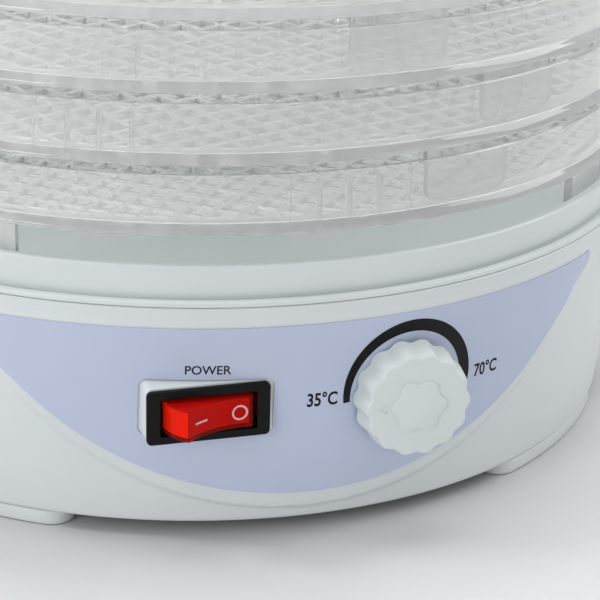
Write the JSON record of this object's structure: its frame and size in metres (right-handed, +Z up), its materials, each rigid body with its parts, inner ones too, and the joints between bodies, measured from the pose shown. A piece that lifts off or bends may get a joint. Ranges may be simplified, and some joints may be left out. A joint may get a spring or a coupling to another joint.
{
  "type": "food dehydrator",
  "caption": "Round electric food dehydrator: white fan base with front switch and dial, stacked clear trays and a vented lid.",
  "frame": {"origin": "on the table, under the middle of the round base", "axes": "+Z up through the tray stack, -Y out of the control panel, +X to the right seen from the front"},
  "size_m": [0.2544, 0.2672, 0.1872],
  "materials": {
    "white_plastic": "smooth cool white ABS, satin gloss",
    "grey_plastic": "plain grey moulding",
    "clear_plastic": "clear polystyrene, slightly milky",
    "label_film": "printed lavender film with black dial marks",
    "black_plastic": "fine matt black nylon",
    "red_plastic": "clear red polycarbonate over a ribbed core",
    "steel": "plain plated steel",
    "brass": "bright brass",
    "copper": "lacquered copper wire",
    "mica": "layered mica board",
    "rubber": "black moulded rubber",
    "red_wire": "red wire sleeve",
    "blue_wire": "blue wire sleeve"
  },
  "bodies": {
    "base": {"base_casing": "white_plastic", "base_top_cover": "white_plastic", "foot_front_left": "white_plastic", "foot_front_right": "white_plastic", "foot_rear_right": "white_plastic", "foot_rear_left": "white_plastic", "outlet_grille": "white_plastic", "bottom_cover": "grey_plastic", "terminal_block": "grey_plastic", "fascia_label": "label_film", "switch_body": "black_plastic", "thermostat_body": "black_plastic", "heat_shield": "steel", "thermal_fuse": "steel", "motor_core": "steel", "motor_lower_bearing": "steel", "motor_upper_bearing": "steel", "motor_strap": "steel", "heater_coil": "steel", "base_screw_1": "steel", "base_screw_2": "steel", "base_screw_3": "steel", "base_screw_4": "steel", "strap_screw_1": "steel", "strap_screw_2": "steel", "switch_terminal_1": "brass", "switch_terminal_2": "brass", "switch_terminal_3": "brass", "thermostat_nut": "brass", "motor_coil": "copper", "heater_frame": "mica", "cord_gland": "rubber", "lead_live": "red_wire", "lead_switched": "red_wire", "lead_heater": "red_wire", "lead_neutral": "blue_wire"},
    "fan": {"fan_impeller": "black_plastic", "motor_shaft": "steel", "motor_rotor": "steel"},
    "knob": {"temperature_knob": "white_plastic", "thermostat_shaft": "steel"},
    "rocker": {"power_rocker": "red_plastic"},
    "tray_1": {"tray_1": "clear_plastic"},
    "tray_2": {"tray_2": "clear_plastic"},
    "tray_3": {"tray_3": "clear_plastic"},
    "tray_4": {"tray_4": "clear_plastic"},
    "tray_5": {"tray_5": "clear_plastic"},
    "lid": {"lid": "clear_plastic"}
  },
  "joints": [
    {"name": "fan_spin", "type": "hinge", "parent": "base", "child": "fan", "pos_m": [0, 0, 0.045], "axis": [0, 0, 1], "continuous": true},
    {"name": "knob_turn", "type": "hinge", "parent": "base", "child": "knob", "pos_m": [0.0244, -0.126, 0.0376], "axis": [0, 1, 0], "range_deg": [0, 190]},
    {"name": "rocker_press", "type": "hinge", "parent": "base", "child": "rocker", "pos_m": [-0.0272, -0.124, 0.0377], "axis": [0, 0, -1], "range_deg": [0, 36]},
    {"name": "tray_1_lift", "type": "slide", "parent": "base", "child": "tray_1", "axis": [0, 0, 1], "range_m": [0, 0.05]},
    {"name": "tray_2_lift", "type": "slide", "parent": "tray_1", "child": "tray_2", "axis": [0, 0, 1], "range_m": [0, 0.05]},
    {"name": "tray_3_lift", "type": "slide", "parent": "tray_2", "child": "tray_3", "axis": [0, 0, 1], "range_m": [0, 0.05]},
    {"name": "tray_4_lift", "type": "slide", "parent": "tray_3", "child": "tray_4", "axis": [0, 0, 1], "range_m": [0, 0.05]},
    {"name": "tray_5_lift", "type": "slide", "parent": "tray_4", "child": "tray_5", "axis": [0, 0, 1], "range_m": [0, 0.05]},
    {"name": "lid_lift", "type": "slide", "parent": "tray_5", "child": "lid", "axis": [0, 0, 1], "range_m": [0, 0.05]}
  ]
}
